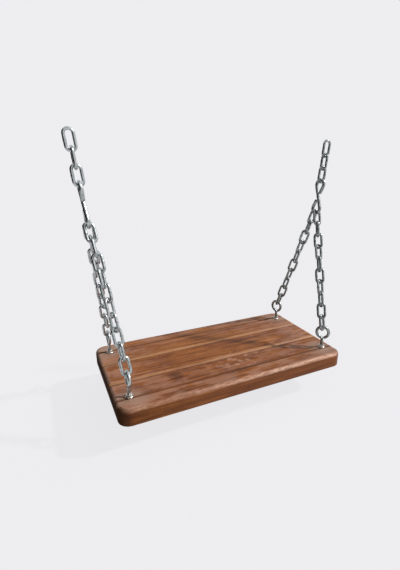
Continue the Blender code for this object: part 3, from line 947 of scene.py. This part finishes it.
def stance(node, width=None):
    """Where a flat CAD piece stands: its long way up Z, its width along X unless the width is given."""
    points = np.array([v.co for v in frame["nodes"][node].data.vertices])
    middle = points.mean(axis=0)
    axes = np.linalg.svd(points - middle, full_matrices=False)[2]
    spans = (points - middle) @ axes.T
    centre = Vector(middle + (spans.max(axis=0) + spans.min(axis=0)) / 2 @ axes)
    along = Vector(axes[0]) if axes[0][2] > 0 else -Vector(axes[0])
    width = Vector(width or axes[1])
    width = (width - along * width.dot(along)).normalized()
    turn = Matrix((width, along.cross(width), along)).transposed()
    return Matrix.Translation(centre) @ turn.to_4x4()


links = {side: link_mesh(f"chain_link_{side}", zinc) for side, zinc in side_zinc.items()}
for node in sorted(frame["nodes"]):
    if "link_" in node:
        side = "left" if "left" in node else "right"
        place_piece(f"welded_{node}", links[side], node, stance(node))


# S-hooks
# Each is 6 mm bar bent to an S, its loops pinched in to the run between them, galvanised like the chain.
# Its lower loop gathers the front and back leg of one side, and its upper loop hangs in the chain above.

hook_radius = 3 * MM
hook_loop = 10.2 * MM
hook_half = 24 * MM
hook_gap = 0.9 * MM
hook_swell = 0.35 * MM
hook_steps = 40
leg_steps = 9
run_steps = 14
hook_sides = 20
hook_crease = 60


def hook_mesh(name, zinc):
    """Two loops and the run between them, each free leg bent back to the run, its tip chamfered."""
    lean = math.asin(hook_loop / hook_half)
    legs_apart = 2 * lean
    tip_reach = (hook_gap + hook_radius * (1 + math.cos(legs_apart))) / math.sin(legs_apart)
    bend = arc((0, hook_half), hook_loop, math.pi + lean, -lean, hook_steps)
    tip = tip_reach * np.array([-math.sin(lean), math.cos(lean)])
    free_leg = np.linspace(tip, bend[0], leg_steps + 1)[:-1]
    upper = np.concatenate([free_leg, bend])
    run = np.linspace(upper[-1], -upper[-1], run_steps + 1)[1:-1]
    path = np.concatenate([upper, run, -upper[::-1]])
    from_tip = np.minimum(np.arange(len(path)), np.arange(len(path))[::-1])
    taper = np.interp(from_tip, [0, 1, 2], [0.75, 0.98, 1.0])
    turn = np.linspace(0, 2 * np.pi, hook_sides, endpoint=False)
    bearing = np.clip((np.abs(path[:, 1]) - hook_half) / hook_loop, 0, 1)
    radius = (hook_radius * taper + hook_swell * (1 - bearing))[:, None] * np.ones(hook_sides)
    rub = 0.6 * bearing[:, None] ** 2 * np.abs(np.cos(turn))
    film = np.interp(from_tip, [0, 3], [0.3, 0])[:, None] * np.ones(hook_sides)
    points = bar_points(path, radius, hook_sides, False)
    faces = ring_faces(len(path), hook_sides, False)
    return new_mesh(name, points, faces, zinc, hook_crease, rub=rub, film=film)


for side, zinc in side_zinc.items():
    node = f"s_hook_{side}"
    mesh = hook_mesh(f"bent_hook_{side}", zinc)
    place_piece(f"bent_hook_{side}", mesh, node, stance(node, width=(0, 1, 0)))


# Studio
# A plain pale floor under the hanging seat, clear from below, and a dome of soft light over it.
# A broad lamp at the right gives the soft shadows, and a black cloth hung at the left darkens the metal.

floor_height = -85 * MM
floor_half = 60
cloth_away = 1.2
cloth_front = -2.6
cloth_back = 1.4
cloth_height = 1.6
key_from = Vector((0.72, -0.3, 0.62))
key_strength = 3.3
key_spread = 3.5
dark_wall = Vector((0.3, 0.9, 0.35))
glow_share = 0.8


def background_rays(tree):
    """1 for rays that show the background: straight to the eye, mirrored in metal or passed through glass."""
    path = add_node(tree, "ShaderNodeLightPath").outputs
    seen = path["Is Camera Ray"]
    for ray in ("Is Glossy Ray", "Is Transmission Ray"):
        seen = add_node(tree, "ShaderNodeMath", {0: seen, 1: path[ray]}, operation="MAXIMUM")
    return seen


def pale_floor():
    """Matt pale paper: to the eye even, with a shadow thinned by a pale glow, and clear from below."""
    material, tree, shader = new_material("pale_matt_floor")
    shader.inputs["Base Color"].default_value = linear("#9a999c")
    shader.inputs["Roughness"].default_value = 0.95
    shader.inputs["Specular IOR Level"].default_value = 0.1
    glow = add_node(tree, "ShaderNodeEmission", {"Color": linear("#fcfbfe"), "Strength": 1.0})
    share = add_node(tree, "ShaderNodeMath", {0: background_rays(tree), 1: glow_share}, operation="MULTIPLY")
    paper = add_node(tree, "ShaderNodeMixShader", {0: share, 1: shader, 2: glow})
    below = add_node(tree, "ShaderNodeNewGeometry").outputs["Backfacing"]
    clear = add_node(tree, "ShaderNodeBsdfTransparent")
    surface = add_node(tree, "ShaderNodeMixShader", {0: below, 1: paper, 2: clear})
    tree.links.new(surface.outputs[0], tree.nodes["Material Output"].inputs["Surface"])
    return material


def black_velvet():
    """Black velvet: it drinks the light, so that the metal that mirrors it looks dark."""
    material, _, shader = new_material("black_velvet")
    shader.inputs["Base Color"].default_value = linear("#0c0c0d")
    shader.inputs["Roughness"].default_value = 1.0
    shader.inputs["Specular IOR Level"].default_value = 0.0
    return material


def stage_sheet(name, corners, material):
    """A flat sheet of the studio, which isn't part of the seat."""
    mesh = bpy.data.meshes.new(name)
    mesh.from_pydata(corners, [], [(0, 1, 2, 3)])
    mesh.materials.append(material)
    sheet = bpy.data.objects.new(name, mesh)
    bpy.context.scene.collection.objects.link(sheet)
    return sheet


floor_sides = ((-1, -1), (1, -1), (1, 1), (-1, 1))
floor_corners = [(x * floor_half, y * floor_half, floor_height) for x, y in floor_sides]
stage_sheet("floor", floor_corners, pale_floor())

# The cloth is seen in the metal only
cloth_foot = [(-cloth_away, y, floor_height) for y in (cloth_front, cloth_back)]
cloth_head = [(-cloth_away, y, cloth_height) for y in (cloth_back, cloth_front)]
cloth = stage_sheet("cloth", cloth_foot + cloth_head, black_velvet())
cloth.visible_camera = False
cloth.visible_diffuse = False
cloth.visible_shadow = False

world = bpy.data.worlds.new("studio_dome")
world.use_nodes = True
bpy.context.scene.world = world
dome = world.node_tree
dome.nodes.clear()
direction = add_node(dome, "ShaderNodeTexCoord").outputs["Generated"]
# The dome is brightest about the lamp
toward_key = add_node(
    dome, "ShaderNodeVectorMath", {0: direction, 1: key_from.normalized()}, operation="DOT_PRODUCT"
)
nearness = add_node(dome, "ShaderNodeMapRange", {"Value": toward_key, "From Min": -1})
lit = add_node(
    dome,
    "ShaderNodeValToRGB",
    {"Fac": nearness},
    stops=[(0.0, "#1d1c1c"), (0.45, "#5c5b5b"), (0.75, "#c4c3c2"), (0.92, "#fffdfa")],
)
# It is darker at the back
toward_back = add_node(
    dome, "ShaderNodeVectorMath", {0: direction, 1: dark_wall.normalized()}, operation="DOT_PRODUCT"
)
shade = add_node(
    dome,
    "ShaderNodeMapRange",
    {"Value": toward_back, "From Min": 0.8, "From Max": 0.96, "To Min": 0.85, "To Max": 0.25},
    interpolation_type="SMOOTHSTEP",
)
studio = add_node(dome, "ShaderNodeBackground", {"Color": lit, "Strength": shade})
backdrop = add_node(dome, "ShaderNodeBackground", {"Color": linear("#eeedf0"), "Strength": 1.0})
dome_mix = add_node(dome, "ShaderNodeMixShader", {0: background_rays(dome), 1: studio, 2: backdrop})
add_node(dome, "ShaderNodeOutputWorld", {"Surface": dome_mix})

key = bpy.data.lights.new("key", "SUN")
key.energy = key_strength
key.angle = math.radians(key_spread)
key_lamp = bpy.data.objects.new("key", key)
key_lamp.rotation_mode = "QUATERNION"
key_lamp.rotation_quaternion = key_from.to_track_quat("Z", "Y")
bpy.context.scene.collection.objects.link(key_lamp)

bpy.context.scene.view_settings.view_transform = "Standard"


# Camera
# It stands where the photograph was taken from, fitted to the bolts, eyes, chain crossings and seat edges.
# The view is from the front left and a little above, with a wide lens.

eye_point = Vector((-0.2971, -0.6036, 0.3568))
view_right = Vector((0.893026, -0.449922, 0.008699))
view_up = Vector((0.137138, 0.290508, 0.946994))
view_back = Vector((-0.428601, -0.844497, 0.321132))

lens = bpy.data.cameras.new("camera")
lens.lens = 23.147
lens.shift_x = -0.0391
lens.shift_y = 0.0086
lens.clip_start = 0.01
camera = bpy.data.objects.new("camera", lens)
view_turn = Matrix((view_right, view_up, view_back)).transposed()
camera.matrix_world = Matrix.Translation(eye_point) @ view_turn.to_4x4()
bpy.context.scene.collection.objects.link(camera)
bpy.context.scene.camera = camera
